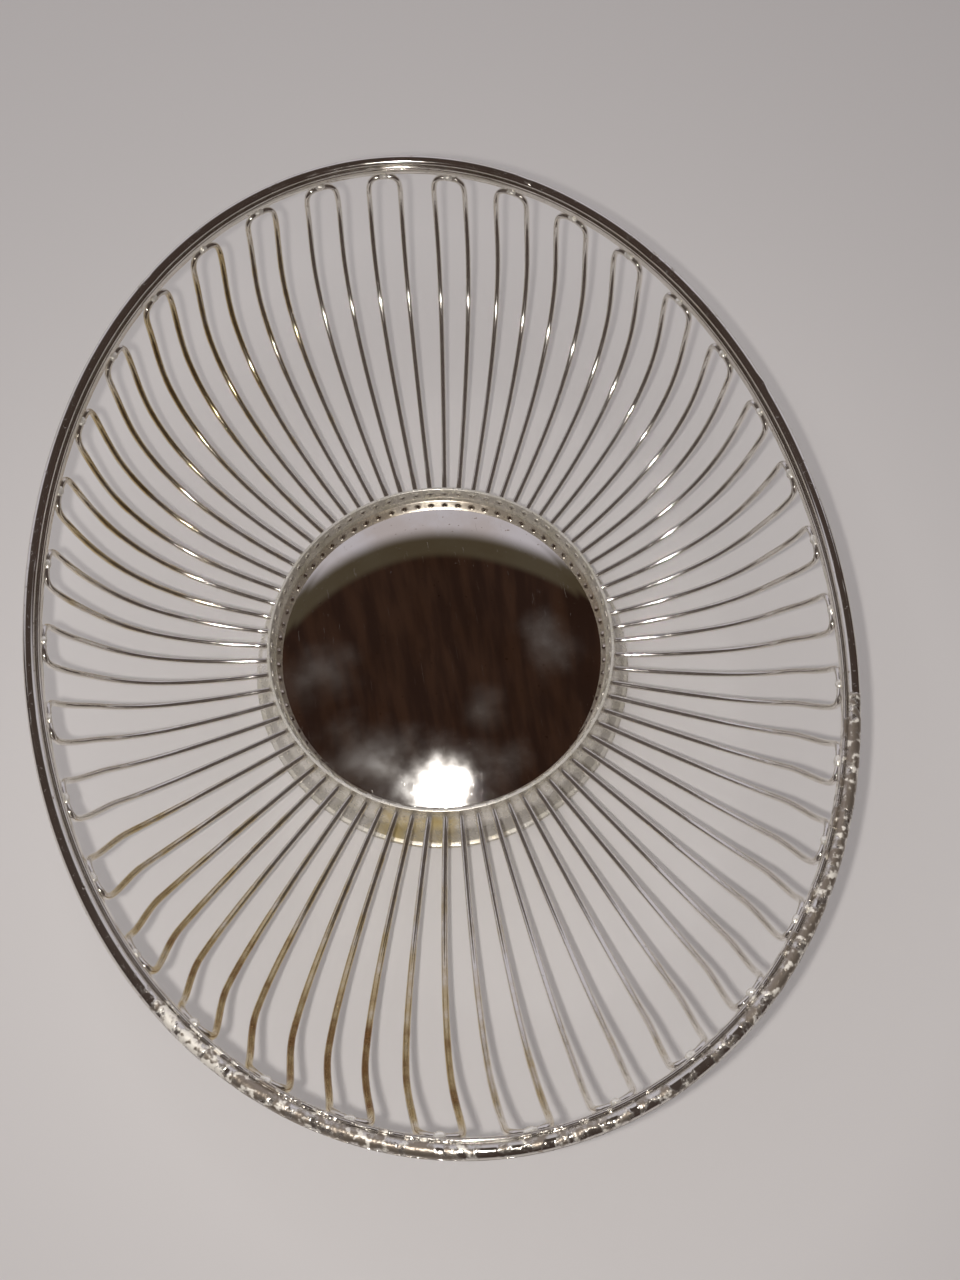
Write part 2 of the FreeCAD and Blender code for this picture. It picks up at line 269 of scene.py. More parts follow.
def rim_finish():
    """Bright plate where wear + blots stays low and bald plate where it is high. Bald plate is dull or chalky by
    blisters + cream, rougher by worn, and less metallic by worn and chalky."""
    material, tree, shader = new_finish("worn_rim_plate")
    where = here(tree)
    wear = mark(tree, "wear")
    blots = spots(tree, where, BLOT_SIZE, 3.0, 0.55)
    blisters = spots(tree, where, BLISTER_SIZE, 2.0, 0.5)
    ragged = work(tree, "ADD", work(tree, "MULTIPLY", wear, 0.34), work(tree, "MULTIPLY", blots, 0.7))
    worn = between(tree, ragged, 0.56, 0.68)
    pale = between(tree, work(tree, "ADD", work(tree, "MULTIPLY", blisters, 0.55), mark(tree, "cream")), 0.28, 0.36)
    bald = colour_mix(tree, pale, DULL, CHALK)
    tone = between(tree, spots(tree, where, TONE_SIZE, 3.0), 0.40, 0.75)
    plate = colour_mix(tree, work(tree, "MULTIPLY", tone, 0.35), BRIGHT, OLIVE)
    specks = between(tree, spots(tree, where, SPECK_SIZE, 3.0, 0.5), 0.66, 0.72)
    specked = colour_mix(tree, work(tree, "MULTIPLY", specks, 0.55), plate, BROWN)
    colour = colour_mix(tree, worn, specked, bald)
    tree.links.new(colour, shader.inputs["Base Color"])
    smooth = between(tree, spots(tree, where, 5 * MM, 4.0), 0.35, 0.75, 0.06, 0.16)
    bare = work(tree, "MULTIPLY", worn, pale)
    rough = work(tree, "ADD", work(tree, "MULTIPLY", worn, 0.30), smooth)
    tree.links.new(rough, shader.inputs["Roughness"])
    powder = work(tree, "ADD", work(tree, "MULTIPLY", worn, 0.22), work(tree, "MULTIPLY", bare, 0.48))
    tree.links.new(work(tree, "SUBTRACT", 0.97, powder), shader.inputs["Metallic"])
    raised = work(tree, "MULTIPLY", worn, blisters)
    dents(tree, shader, work(tree, "ADD", raised, work(tree, "MULTIPLY", specks, -0.2)), BLISTER_DEPTH)
    return material


rim_plate = rim_finish()
print("made", rim_plate.name)

# %% [markdown]
# ### Wire
# Drawn wire is bright along its length. Tarnish has turned the wires straw yellow and then brown, most on the far
# left and near left of the basket. The mark "tarnish" says how far it has gone, and noise makes it patchy. Base
# metal shows here and there as a dull brown fleck. A few hundredths of the wire's finish is powder instead of
# metal, because old plate is never a perfect mirror.

# %% Wire finish
def wire_finish():
    """Bright to straw to brown as tarnish + patches rises, with flecks of bare metal; rougher where it is brown."""
    material, tree, shader = new_finish("tarnished_wire", Metallic=0.93)
    where = here(tree)
    patches = spots(tree, where, 7 * MM, 4.0, 0.6)
    tarnish = work(tree, "ADD", mark(tree, "tarnish"), work(tree, "MULTIPLY", patches, 1.2))
    yellow = between(tree, tarnish, 0.85, 1.45)
    brown = between(tree, tarnish, 1.35, 1.75)
    fresh = colour_mix(tree, yellow, BRIGHT, STRAW)
    old = colour_mix(tree, brown, fresh, BROWN)
    flecks = between(tree, spots(tree, where, 0.8 * MM, 3.0, 0.5), 0.69, 0.74)
    colour = colour_mix(tree, work(tree, "MULTIPLY", flecks, 0.6), old, PIT)
    tree.links.new(colour, shader.inputs["Base Color"])
    smooth = between(tree, spots(tree, where, 3 * MM, 4.0), 0.35, 0.75, 0.08, 0.17)
    tree.links.new(work(tree, "ADD", smooth, work(tree, "MULTIPLY", brown, 0.15)), shader.inputs["Roughness"])
    dents(tree, shader, work(tree, "SUBTRACT", spots(tree, where, 1.6 * MM, 3.0), flecks), 0.03 * MM)
    return material


wire_silver = wire_finish()
print("made", wire_silver.name)

# %% [markdown]
# ### The dome's mirror
# The dome is polished on a wheel, so it is the brightest mirror on the basket. It has dried polish on it in milky
# clouds on its near left and its right, a faint brown bloom, hair scratches that cross each other, and a few
# pinprick spots. The clouds let a little of the plate look like a pale powder, which scatters light, instead of a
# mirror.

# %% Dome finish
def cloud(tree, where, middle, size, stretch):
    """A soft round share around middle, size metres across, made uneven by noise and stretched along x."""
    moved = add(tree, "ShaderNodeMapping", {"Vector": where, "Location": middle, "Scale": (stretch, 1, 6)},
                vector_type="TEXTURE").outputs["Vector"]
    length = add(tree, "ShaderNodeVectorMath", {0: moved}, operation="LENGTH").outputs["Value"]
    uneven = work(tree, "ADD", length, work(tree, "MULTIPLY", spots(tree, where, 12 * MM, 4.0, 0.5), 0.9 * size))
    return between(tree, uneven, 0.15 * size, 1.15 * size, 1.0, 0.0)


# One cloud in each row: its middle, its size in metres, its stretch along x and its strength.
CLOUDS = (((-0.026, -0.032, 0.016), 0.024, 1.3, 0.85), ((-0.006, -0.041, 0.016), 0.024, 1.6, 1.0),
          ((-0.036, -0.004, 0.016), 0.016, 1.4, 0.40), ((0.031, -0.006, 0.016), 0.019, 0.8, 0.55),
          ((0.008, -0.024, 0.016), 0.014, 1.0, 0.40))
DOME_SILVER, DOME_BLOOM, DRIED_POLISH = (0.86, 0.82, 0.77, 1), (0.66, 0.55, 0.42, 1), (0.74, 0.76, 0.78, 1)
SCRATCH_DEPTH = 0.004 * MM


def dome_finish():
    """A mirror that is milky by the greatest of the clouds x wisps, with hair scratches and pinpricks. Milky parts
    are paler, rougher and less metallic."""
    material, tree, shader = new_finish("dome_mirror")
    where = here(tree)
    clouds = None
    for middle, size, stretch, strength in CLOUDS:
        one = work(tree, "MULTIPLY", cloud(tree, where, middle, size, stretch), strength)
        clouds = one if clouds is None else work(tree, "MAXIMUM", clouds, one)
    wisps = between(tree, spots(tree, where, 7 * MM, 5.0, 0.55), 0.25, 0.75)
    milk = work(tree, "MULTIPLY", clouds, work(tree, "ADD", work(tree, "MULTIPLY", wisps, 0.5), 0.5), clamp=True)
    scratched = add(tree, "ShaderNodeMapping", {"Vector": where, "Rotation": (0, 0, 0.6), "Scale": (26, 1, 1)})
    across = add(tree, "ShaderNodeMapping", {"Vector": where, "Rotation": (0, 0, -0.9), "Scale": (24, 1, 1)})
    hairs = work(tree, "MAXIMUM", between(tree, spots(tree, scratched.outputs["Vector"], 9 * MM, 3.0), 0.70, 0.73),
                 between(tree, spots(tree, across.outputs["Vector"], 9 * MM, 3.0), 0.71, 0.74))
    prick = between(tree, spots(tree, where, 1.0 * MM, 2.0, 0.4), 0.735, 0.76)
    bloom = between(tree, spots(tree, where, 22 * MM, 4.0), 0.42, 0.68)
    plate = colour_mix(tree, work(tree, "MULTIPLY", bloom, 0.45), DOME_SILVER, DOME_BLOOM)
    milky = colour_mix(tree, milk, plate, DRIED_POLISH)
    tree.links.new(colour_mix(tree, work(tree, "MULTIPLY", prick, 0.7), milky, BROWN), shader.inputs["Base Color"])
    metal = work(tree, "SUBTRACT", 1.0, work(tree, "ADD", work(tree, "MULTIPLY", milk, 0.24),
                                             work(tree, "MULTIPLY", hairs, 0.02)), clamp=True)
    tree.links.new(metal, shader.inputs["Metallic"])
    hazy = work(tree, "ADD", work(tree, "MULTIPLY", hairs, 0.05), 0.024)
    rough = work(tree, "ADD", work(tree, "MULTIPLY", milk, 0.30), hazy)
    tree.links.new(rough, shader.inputs["Roughness"])
    dents(tree, shader, work(tree, "ADD", hairs, prick), SCRATCH_DEPTH)
    return material


dome_mirror = dome_finish()
print("made", dome_mirror.name)

# %% [markdown]
# ### Collar, foot and solder
# The collar and foot are the same plate, but the polishing cloth never gets into their corners. A thin olive
# tarnish stays there, half metal and half powder, and yellow stains run down the near side of the skirt. Solder is
# softer and greyer than plate: it sets with a slightly frosted, lumpy skin.

# %% Plate in the corners, and solder
STAIN = (0.74, 0.58, 0.22, 1)
SOLDER_PALE, SOLDER_DARK = (0.90, 0.88, 0.83, 1), (0.66, 0.62, 0.55, 1)


def corner_finish():
    """Bright plate mixed with olive by blots, then with yellow by stain + blots, with dark specks over all."""
    material, tree, shader = new_finish("corner_plate", Metallic=0.50)
    where = here(tree)
    blots = spots(tree, where, 6 * MM, 5.0, 0.6)
    olive = work(tree, "MULTIPLY", between(tree, blots, 0.35, 0.70), 0.55)
    plate = colour_mix(tree, olive, BRIGHT, OLIVE)
    stain = between(tree, work(tree, "ADD", mark(tree, "stain"), work(tree, "MULTIPLY", blots, 0.8)), 1.00, 1.75)
    colour = colour_mix(tree, stain, plate, STAIN)
    specks = between(tree, spots(tree, where, 0.9 * MM, 3.0, 0.5), 0.67, 0.72)
    tree.links.new(colour_mix(tree, work(tree, "MULTIPLY", specks, 0.5), colour, PIT), shader.inputs["Base Color"])
    rough = work(tree, "ADD", between(tree, spots(tree, where, 3 * MM, 4.0), 0.35, 0.75, 0.20, 0.36),
                 work(tree, "MULTIPLY", stain, 0.12))
    tree.links.new(rough, shader.inputs["Roughness"])
    dents(tree, shader, work(tree, "SUBTRACT", spots(tree, where, 2.2 * MM, 4.0), specks), 0.035 * MM)
    return material


def solder_finish():
    """One fine noise, the frost, sets the colour from pale to dark, the roughness and the relief."""
    material, tree, shader = new_finish("frosted_solder", Metallic=0.60)
    where = here(tree)
    frost = spots(tree, where, 0.45 * MM, 5.0, 0.65)
    colour = colour_mix(tree, between(tree, frost, 0.40, 0.70), SOLDER_PALE, SOLDER_DARK)
    tree.links.new(colour, shader.inputs["Base Color"])
    tree.links.new(between(tree, frost, 0.35, 0.75, 0.16, 0.34), shader.inputs["Roughness"])
    dents(tree, shader, frost, 0.06 * MM)
    return material


corner_plate = corner_finish()
solder_grey = solder_finish()
print("made", corner_plate.name, "and", solder_grey.name)

# %% [markdown]
# ## The rim's path
# The rim is an oval in plan, a little fuller at its four corners than a true ellipse. Its two ends stand higher
# than its two sides, so from the side it is a shallow saddle. The oval's own angle runs round it, and every point
# of the rim is an inset from its outer edge and a lift from its underside. All pieces that touch the rim use this
# one function.

# %% Where the rim runs
HALF_LENGTH = 133.0 * MM
HALF_WIDTH = 104.2 * MM
RIM_UNDERSIDE = 63.8 * MM
RIM_RISE = 4.8 * MM
RIM_FULLNESS = 0.4 * MM


def along_rim(angle, inset, lift):
    """(half width x cos, half length x sin), moved inwards by inset and out by fullness x (1 - cos 4 angle),
    at the height underside - rise x cos 2 angle + lift."""
    edge = np.stack([HALF_WIDTH * np.cos(angle), HALF_LENGTH * np.sin(angle)], axis=-1)
    inward = -np.stack([np.cos(angle) / HALF_WIDTH, np.sin(angle) / HALF_LENGTH], axis=-1)
    inward /= np.linalg.norm(inward, axis=-1, keepdims=True)
    height = RIM_UNDERSIDE - RIM_RISE * np.cos(2 * angle) + lift
    moved = inset - RIM_FULLNESS * (1 - np.cos(4 * angle))
    return np.concatenate([edge + inward * moved[..., None], height[..., None]], axis=-1)


rim_low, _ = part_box("rim_strip")
print("oval", 2 * HALF_WIDTH / MM, "by", 2 * HALF_LENGTH / MM, "mm; strip box from", round(rim_low.x / MM, 1))

# %% [markdown]
# ## Rim strip
# A square-edged band lies under the moulding. Its inner face shows as a bright line inside the far rim, and the
# hairpins are soldered to its underside. A rectangle with softened corners is carried round the rim. The corners
# are small curves, because a rolled strip has no knife edges and a mirror finish needs a rounded edge to catch light.

# %% Rim strip
STRIP_WIDTH = 4.2 * MM
STRIP_THICK = 1.9 * MM
STRIP_SETBACK = 0.1 * MM
STRIP_CORNER = 0.18 * MM
RIM_STATIONS = 480
CORNER_POINTS = 4


def softened(corners, radius):
    """A closed outline through corners, each rounded by a quarter-turn curve that starts radius before it."""
    corners = np.asarray(corners, float)
    before = np.roll(corners, 1, axis=0) - corners
    after = np.roll(corners, -1, axis=0) - corners
    before /= np.linalg.norm(before, axis=1, keepdims=True)
    after /= np.linalg.norm(after, axis=1, keepdims=True)
    share = np.linspace(0, 1, CORNER_POINTS)[None, :, None]
    start, end = (corners + before * radius)[:, None], (corners + after * radius)[:, None]
    middle = corners[:, None]
    return (start * (1 - share) ** 2 + 2 * middle * share * (1 - share) + end * share ** 2).reshape(-1, 2)


rim_angles = np.linspace(0, 2 * np.pi, RIM_STATIONS, endpoint=False)


def round_the_rim(name, section, marks=None, swell=None):
    """The section (inset, lift) carried round the rim. swell moves each section point in inset and lift."""
    angle = np.broadcast_to(rim_angles[:, None], (RIM_STATIONS, len(section)))
    inset = np.broadcast_to(section[:, 0], angle.shape)
    lift = np.broadcast_to(section[:, 1], angle.shape)
    if swell is not None:
        inset, lift = inset + swell[..., 0], lift + swell[..., 1]
    return skin(name, along_rim(angle, inset, lift), True, marks)


strip_section = softened([(STRIP_SETBACK, 0), (STRIP_WIDTH, 0), (STRIP_WIDTH, STRIP_THICK),
                          (STRIP_SETBACK, STRIP_THICK)], STRIP_CORNER)
# One worn part in each row: how worn, and its middle, half width and soft edge in degrees.
WORN_PARTS = ((1.00, 318, 16, 12), (1.00, 243, 15, 12), (0.75, 282, 12, 14), (0.35, 168, 3, 6), (0.40, 130, 2, 5),
              (0.40, 64, 2, 5), (0.45, 42, 3, 6))
STRIP_WEAR_SHARE = 0.6
wear_zone = np.maximum.reduce([depth * window(rim_angles, *part) for depth, *part in WORN_PARTS])
strip_wear = np.broadcast_to(STRIP_WEAR_SHARE * wear_zone[:, None], (RIM_STATIONS, len(strip_section)))
rim_strip = round_the_rim("rim_strip_plate", strip_section, {"wear": strip_wear, "cream": 0 * strip_wear})
place(rim_strip, "rim_strip", rim_plate)
print(rim_strip.name, len(rim_strip.data.polygons), "faces")

# %% [markdown]
# ## Rim moulding
# On the strip sits a rolled moulding: a thin lip along the outer edge, a tall half-round, a narrow groove and a
# small inner bead. The outline is worked out from those four parts. It is carried round the rim with a little
# unevenness in it, because the moulding was bent by hand: the half-round leans and swells by a tenth of a
# millimetre, and knocks have left small dents. One drip of solder sits on its right side.

# %% Rim moulding
LIP_WIDTH, LIP_THICK = 0.20 * MM, 0.35 * MM
ROUND_WIDTH, ROUND_HEIGHT = 3.1 * MM, 1.75 * MM
QUIRK_WIDTH = 0.15 * MM
BEAD_WIDTH, BEAD_HEIGHT = 0.60 * MM, 0.30 * MM
LEDGE = STRIP_THICK + LIP_THICK
ROUND_START = LIP_WIDTH
ROUND_END = LIP_WIDTH + ROUND_WIDTH
BEAD_START = ROUND_END + QUIRK_WIDTH
BEAD_END = BEAD_START + BEAD_WIDTH
LIP_CORNER, LIP_GAP, BEAD_CORNER = 0.12 * MM, 0.05 * MM, 0.08 * MM
LEAN, SWELL, DRIP = 0.10 * MM, 0.05 * MM, 0.35 * MM
DRIP_PLACE, DRIP_REACH, DRIP_INSET, DRIP_WIDTH = 19, 0.45, 1.0 * MM, 0.55 * MM


def hump(start, width, height, count):
    """Circular arc over a chord of width that rises to height, as count points (inset, lift above the ledge)."""
    radius = (width ** 2 / 4 + height ** 2) / (2 * height)
    reach = np.arctan2(width / 2, radius - height)
    turn = np.linspace(-reach, reach, count)
    return np.stack([start + width / 2 + radius * np.sin(turn), LEDGE + height - radius * (1 - np.cos(turn))], axis=1)


moulding_section = np.concatenate([
    [(0, STRIP_THICK), (0, LEDGE - LIP_CORNER), (LIP_CORNER, LEDGE), (LIP_WIDTH - LIP_GAP, LEDGE)],
    hump(ROUND_START, ROUND_WIDTH, ROUND_HEIGHT, 25),
    hump(BEAD_START, BEAD_WIDTH, BEAD_HEIGHT, 9),
    [(BEAD_END, LEDGE - BEAD_CORNER), (BEAD_END, STRIP_THICK)]])
lift_share = np.clip((moulding_section[:, 1] - LEDGE) / ROUND_HEIGHT, 0, 1)
lean = LEAN * waves(rim_angles, [2, 3, 5, 9, 14, 23], 11)
swell_up = SWELL * waves(rim_angles, [3, 7, 12, 31, 47], 12) - SWELL


def knock(middle, half_width):
    """A smooth dip 1 deep at middle degrees along the rim, fading by exp(-(away / half width) squared)."""
    away = (np.degrees(rim_angles) - middle + 180) % 360 - 180
    return np.exp(-(away / half_width) ** 2)


# One knock in each row: its place and half width in degrees, and its depth in millimetres.
KNOCKS = ((170, 0.8, 0.16), (129, 0.7, 0.20), (64, 0.6, 0.15), (42, 1.0, 0.18), (188, 0.5, 0.12), (352, 0.7, 0.14),
          (232, 0.9, 0.20), (308, 0.8, 0.18))
dip = sum(depth * MM * knock(middle, width) for middle, width, depth in KNOCKS)
drip = DRIP * knock(DRIP_PLACE, DRIP_REACH)
outer_side = np.exp(-((moulding_section[:, 0] - DRIP_INSET) / DRIP_WIDTH) ** 2)
swell = np.zeros((RIM_STATIONS, len(moulding_section), 2))
swell[..., 0] = lean[:, None] * lift_share
swell[..., 1] = (swell_up - dip)[:, None] * lift_share + drip[:, None] * outer_side
wear = np.broadcast_to(wear_zone[:, None] * (0.75 + 0.25 * lift_share), swell.shape[:2])
cream = np.broadcast_to(0.10 * window(rim_angles, 229, 4, 2)[:, None], swell.shape[:2])
rim_moulding = round_the_rim("rim_moulding_round", moulding_section, {"wear": wear, "cream": cream}, swell)
place(rim_moulding, "rim_moulding", rim_plate)
print(rim_moulding.name, len(rim_moulding.data.polygons), "faces; deepest knock",
      round(float(dip.max() / MM), 2), "mm")

# %% [markdown]
# ## Collar, and where the wires start
# The collar is a band that leans outwards, with a ledge inside its foot for the dome. The wires go through it a
# little above its middle. The same formula for its inner face places the wires, so it comes first. The outline is
# turned about the upright axis, very slightly uneven, as hand-raised work is.

# %% Collar
COLLAR_RADIUS, COLLAR_THICK, COLLAR_FLARE = 51.0 * MM, 0.8 * MM, 0.9 * MM
COLLAR_BOTTOM, COLLAR_TOP = 13.0 * MM, 19.5 * MM
LEDGE_INNER, LEDGE_TOP = 47.0 * MM, 13.8 * MM
WIRE_HEIGHT = 17.3 * MM
WIRES = 72
TURNED_STATIONS = 432
COLLAR_CORNER, COLLAR_GAP, COLLAR_WOBBLE = 0.22 * MM, 1.2 * MM, 0.04 * MM


def collar_inner(height):
    """Inner radius at a height: outside radius less the wall, less the part of the flare still to come."""
    return COLLAR_RADIUS - COLLAR_THICK - COLLAR_FLARE * (COLLAR_TOP - height) / (COLLAR_TOP - COLLAR_BOTTOM)


def turned(name, section, marks=None, wobble=0.0, seed=0):
    """A closed outline (radius, height) turned about the upright axis, uneven in radius by about wobble."""
    angle = np.linspace(0, 2 * np.pi, TURNED_STATIONS, endpoint=False)[:, None]
    radius = section[:, 0] + wobble * (waves(angle[:, 0], [2, 3, 5, 8, 13], seed)[:, None] - 1)
    rings = np.stack([radius * np.cos(angle), radius * np.sin(angle),
                      np.broadcast_to(section[:, 1], radius.shape)], axis=-1)
    marks = {key: np.broadcast_to(value(angle, section), radius.shape) for key, value in (marks or {}).items()}
    return skin(name, rings, True, marks)


def spaced(outline, gap):
    """The outline with its long straight runs divided, so that no run is much longer than gap."""
    ends = np.roll(outline, -1, axis=0)
    runs = [np.linspace(a, b, max(1, int(np.ceil(np.linalg.norm(b - a) / gap))), endpoint=False)
            for a, b in zip(outline, ends)]
    return np.concatenate(runs)


collar_section = spaced(softened([
    (LEDGE_INNER, COLLAR_BOTTOM), (collar_inner(COLLAR_BOTTOM) + COLLAR_THICK, COLLAR_BOTTOM),
    (COLLAR_RADIUS, COLLAR_TOP), (COLLAR_RADIUS - COLLAR_THICK, COLLAR_TOP),
    (collar_inner(LEDGE_TOP), LEDGE_TOP), (LEDGE_INNER, LEDGE_TOP)], COLLAR_CORNER), COLLAR_GAP)
collar = turned("collar_leaning_band", collar_section, {
    "stain": lambda angle, section: 0.35 * window(angle, 140, 45, 40) + 0.3 * window(angle, 265, 20, 20)},
    COLLAR_WOBBLE, 21)
place(collar, "collar_band", corner_plate)
print(collar.name, len(collar.data.polygons), "faces")

# %% [markdown]
# ## Hairpins
# Each hairpin is one length of wire: up one leg from the collar, over in a round top under the rim, and down the
# other leg. A leg leaves the collar almost level and turns up close inside the rim, which a cubic curve with four
# guide points gives well. Near the top the two legs close on each other along a quarter of an ellipse. The makers
# spaced them by eye, so the set runs a degree or so ahead on one side. All 36 centre lines are worked out as one
# array, and a circle is carried along each of them.

# %% Centre lines of the wires
HAIRPINS = 36
PHASE, DRIFT, DRIFT_SIDE = -1.3, 1.45, 240.0
EVEN_SHARE = 0.7
SPREAD_LOW, SPREAD_HIGH = 2.5, 2.5
BACK_TURN, FLANK_TURN = 2.6, 1.8
WIRE_RADIUS, WIRE_INSET, WIRE_STUB = 0.85 * MM, 3.9 * MM, 0.35 * MM
RUN_OUT, RISE_OUT, TUCK, RISE_TUCK = 1.05, 0.15, 0.10, 1.00
ARCH_START = 0.78
UPRIGHT_FROM, UPRIGHT_TO, UPRIGHT_PULL = 0.50, 0.90, 0.80
LEG_STATIONS, TOP_CROWDING = 56, 1.8
HAND_SWAY = 0.45 * MM
BEND_FLATTEN, BEND_REACH = 0.05, 0.1
WIRE_SIDES = 14
UP = np.array([0.0, 0.0, 1.0])


def flat_way(degrees):
    """Level unit vector at an angle."""
    turn = np.radians(degrees)
    return np.stack([np.cos(turn), np.sin(turn), 0 * turn], axis=-1)


def oval_angle(spaced_angle):
    """The oval's own angle for a hairpin, in radians: most of the way from equal angles to equal lengths of rim."""
    slimness = (HALF_LENGTH - HALF_WIDTH) / (HALF_LENGTH + HALF_WIDTH)
    turn = np.radians(spaced_angle)
    return turn - EVEN_SHARE * slimness / 2 * np.sin(2 * turn)


def leg_line(share, middle, hand):
    """Cubic curve from the collar to the hairpin's top: start, out, tuck and top weighted by powers of the share.
    Its upper part is then drawn outwards, level, towards its place under the rim."""
    low = middle + hand * SPREAD_LOW
    closing = np.clip((share - ARCH_START) / (1 - ARCH_START), 0, 1)
    spread = SPREAD_HIGH * np.sqrt(1 - closing ** 2)
    top = along_rim(oval_angle(middle + hand * spread), WIRE_INSET, -WIRE_RADIUS)
    start = flat_way(low) * collar_inner(WIRE_HEIGHT) + WIRE_HEIGHT * UP
    run = top - start
    climb = run[..., 2:] * UP
    run = run * (1 - UP)
    heading = low - BACK_TURN * np.cos(np.radians(middle - DRIFT_SIDE)) - FLANK_TURN * np.sin(np.radians(2 * middle))
    length = np.linalg.norm(run, axis=-1, keepdims=True)
    out = start + flat_way(heading) * RUN_OUT * length + RISE_OUT * climb
    tuck = start + run * (1 - TUCK) + RISE_TUCK * climb
    share, rest = share[..., None], 1 - share[..., None]
    point = start * rest ** 3 + 3 * out * share * rest ** 2 + 3 * tuck * share ** 2 * rest + top * share ** 3
    drawn = np.clip((share - UPRIGHT_FROM) / (UPRIGHT_TO - UPRIGHT_FROM), 0, 1)
    return point + (top - point) * (1 - UP) * UPRIGHT_PULL * drawn ** 2 * (3 - 2 * drawn)


even = PHASE + 360.0 / HAIRPINS * np.arange(HAIRPINS)
middles = even + DRIFT * np.cos(np.radians(even - DRIFT_SIDE))
shares = 1 - (1 - np.linspace(0, 1, LEG_STATIONS)) ** TOP_CROWDING
left = leg_line(shares[None, :], middles[:, None], -1)
right = leg_line(shares[None, :], middles[:, None], 1)
lines = np.concatenate([left, right[:, -2::-1]], axis=1)
line_share = np.concatenate([shares, shares[-2::-1]])
sway = np.random.default_rng(31).uniform(-1, 1, (HAIRPINS, 4, 1))
bow = np.sin(np.pi * line_share) * (line_share < 1)
half = (np.arange(len(line_share)) < LEG_STATIONS)[None, :, None]
sideways = np.cross(UP, flat_way(middles))[:, None]
shove = np.where(half, sway[:, :1], sway[:, 1:2]) * bow[None, :, None]
lines = lines + HAND_SWAY * shove * sideways
print("centre lines", lines.shape, "highest", round(float(lines[..., 2].max() / MM), 1), "mm")

# %% [markdown]
# A circle needs two directions square to the wire at every station. One fixed direction that points inwards and up
# is never along the wire, so it can be squared to the wire's own direction without any twisting. The two ends are
# drawn in over a few short steps, which rounds the cut ends that show inside the collar.

# %% Hairpins
def unit(vectors):
    """Vectors scaled to length 1."""
    return vectors / np.linalg.norm(vectors, axis=-1, keepdims=True)


forward = unit(np.gradient(lines, axis=1))
start_point = lines[:, 0] - forward[:, 0] * WIRE_STUB
end_point = lines[:, -1] + forward[:, -1] * WIRE_STUB
rounding = WIRE_STUB * np.array([0.0, 0.30, 0.75, 1.0])
end_scale = np.array([0.35, 0.75, 0.95, 1.0])
first_part = start_point[:, None] + forward[:, :1] * rounding[None, :, None]
last_part = end_point[:, None] - forward[:, -1:] * rounding[None, ::-1, None]
full_lines = np.concatenate([first_part, lines[:, 1:-1], last_part], axis=1)
full_scale = np.concatenate([end_scale, np.ones(lines.shape[1] - 2), end_scale[::-1]])
full_share = np.concatenate([np.zeros(4), line_share[1:-1], np.zeros(4)])
forward = unit(np.gradient(full_lines, axis=1))
inward_up = (-0.6 * flat_way(middles) + 0.8 * UP)[:, None]
across = unit(inward_up - (inward_up * forward).sum(axis=-1, keepdims=True) * forward)
beside = np.cross(forward, across)
turn = np.linspace(0, 2 * np.pi, WIRE_SIDES, endpoint=False)
flatten = 1 - BEND_FLATTEN * np.exp(-((full_share - 1) / BEND_REACH) ** 2)
circle = (np.cos(turn)[None, None, :, None] * across[:, :, None] * flatten[None, :, None, None]
          + np.sin(turn)[None, None, :, None] * beside[:, :, None])
wire_rings = full_lines[:, :, None] + WIRE_RADIUS * full_scale[None, :, None, None] * circle
UNEVEN_TARNISH = 0.10
# One tarnished side in each row: how far gone, and its middle, half width and soft edge in degrees.
TARNISHED_SIDES = ((0.75, 138, 22, 28), (0.95, 240, 22, 20), (0.35, 275, 15, 20))
side_tarnish = np.maximum.reduce([depth * window(np.radians(middles), *side) for depth, *side in TARNISHED_SIDES])
side_tarnish = side_tarnish + UNEVEN_TARNISH * np.random.default_rng(32).uniform(-1, 1, HAIRPINS)
up_the_leg = 0.35 + 0.65 * np.sin(np.pi * np.clip(full_share, 0, 1) ** 1.2)
wire_tarnish = side_tarnish[:, None, None] * up_the_leg[None, :, None] * np.ones(WIRE_SIDES)
for number in range(HAIRPINS):
    node = f"hairpin_{number + 1:02d}"
    wire = skin(f"wire_{number + 1:02d}", wire_rings[number], False, {"tarnish": wire_tarnish[number]}, 80)
    place(wire, node, wire_silver)
print(HAIRPINS, "hairpins,", len(wire.data.polygons), "faces each")

# %% [markdown]
# ## Solder
# A spot of solder fills the angle between each hairpin's top and the strip, and a low ring of it holds each wire's
# end in the collar. Melted solder pulls itself into rounded lumps, so each spot is a flattened ball with a slightly
# different size and an uneven skin. All spots of one kind are one piece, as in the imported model.

# %% Solder spots
SPOT_SIZE, SPOT_INSET, SPOT_DROP = np.array([1.45, 1.05, 0.85]) * MM, 0.15 * MM, 0.50 * MM
END_SIZE = np.array([1.12, 1.12, 0.30]) * MM


def balls(centres, axes, sizes, around, steps, uneven, seed):
    """Flattened balls: centre + size-scaled axes x (sin t cos p, sin t sin p, cos t), each point pushed in or out."""
    tilt = np.linspace(0.12, np.pi - 0.12, steps)[None, :, None]
    turn = np.linspace(0, 2 * np.pi, around, endpoint=False)[None, None, :]
    flat = [np.sin(tilt) * np.cos(turn), np.sin(tilt) * np.sin(turn), np.cos(tilt) * np.ones_like(turn)]
    phase = np.random.default_rng(seed).uniform(0, 2 * np.pi, (len(centres), 4, 1, 1))
    push = 1 + uneven * (np.sin(2 * turn + phase[:, 0]) * np.sin(2 * tilt + phase[:, 1])
                         + 0.5 * np.sin(3 * turn + phase[:, 2]) * np.sin(3 * tilt + phase[:, 3]))
    points = sum((sizes[:, i, None, None] * push * flat[i])[..., None] * axes[:, i, None, None] for i in range(3))
    return centres[:, None, None] + points


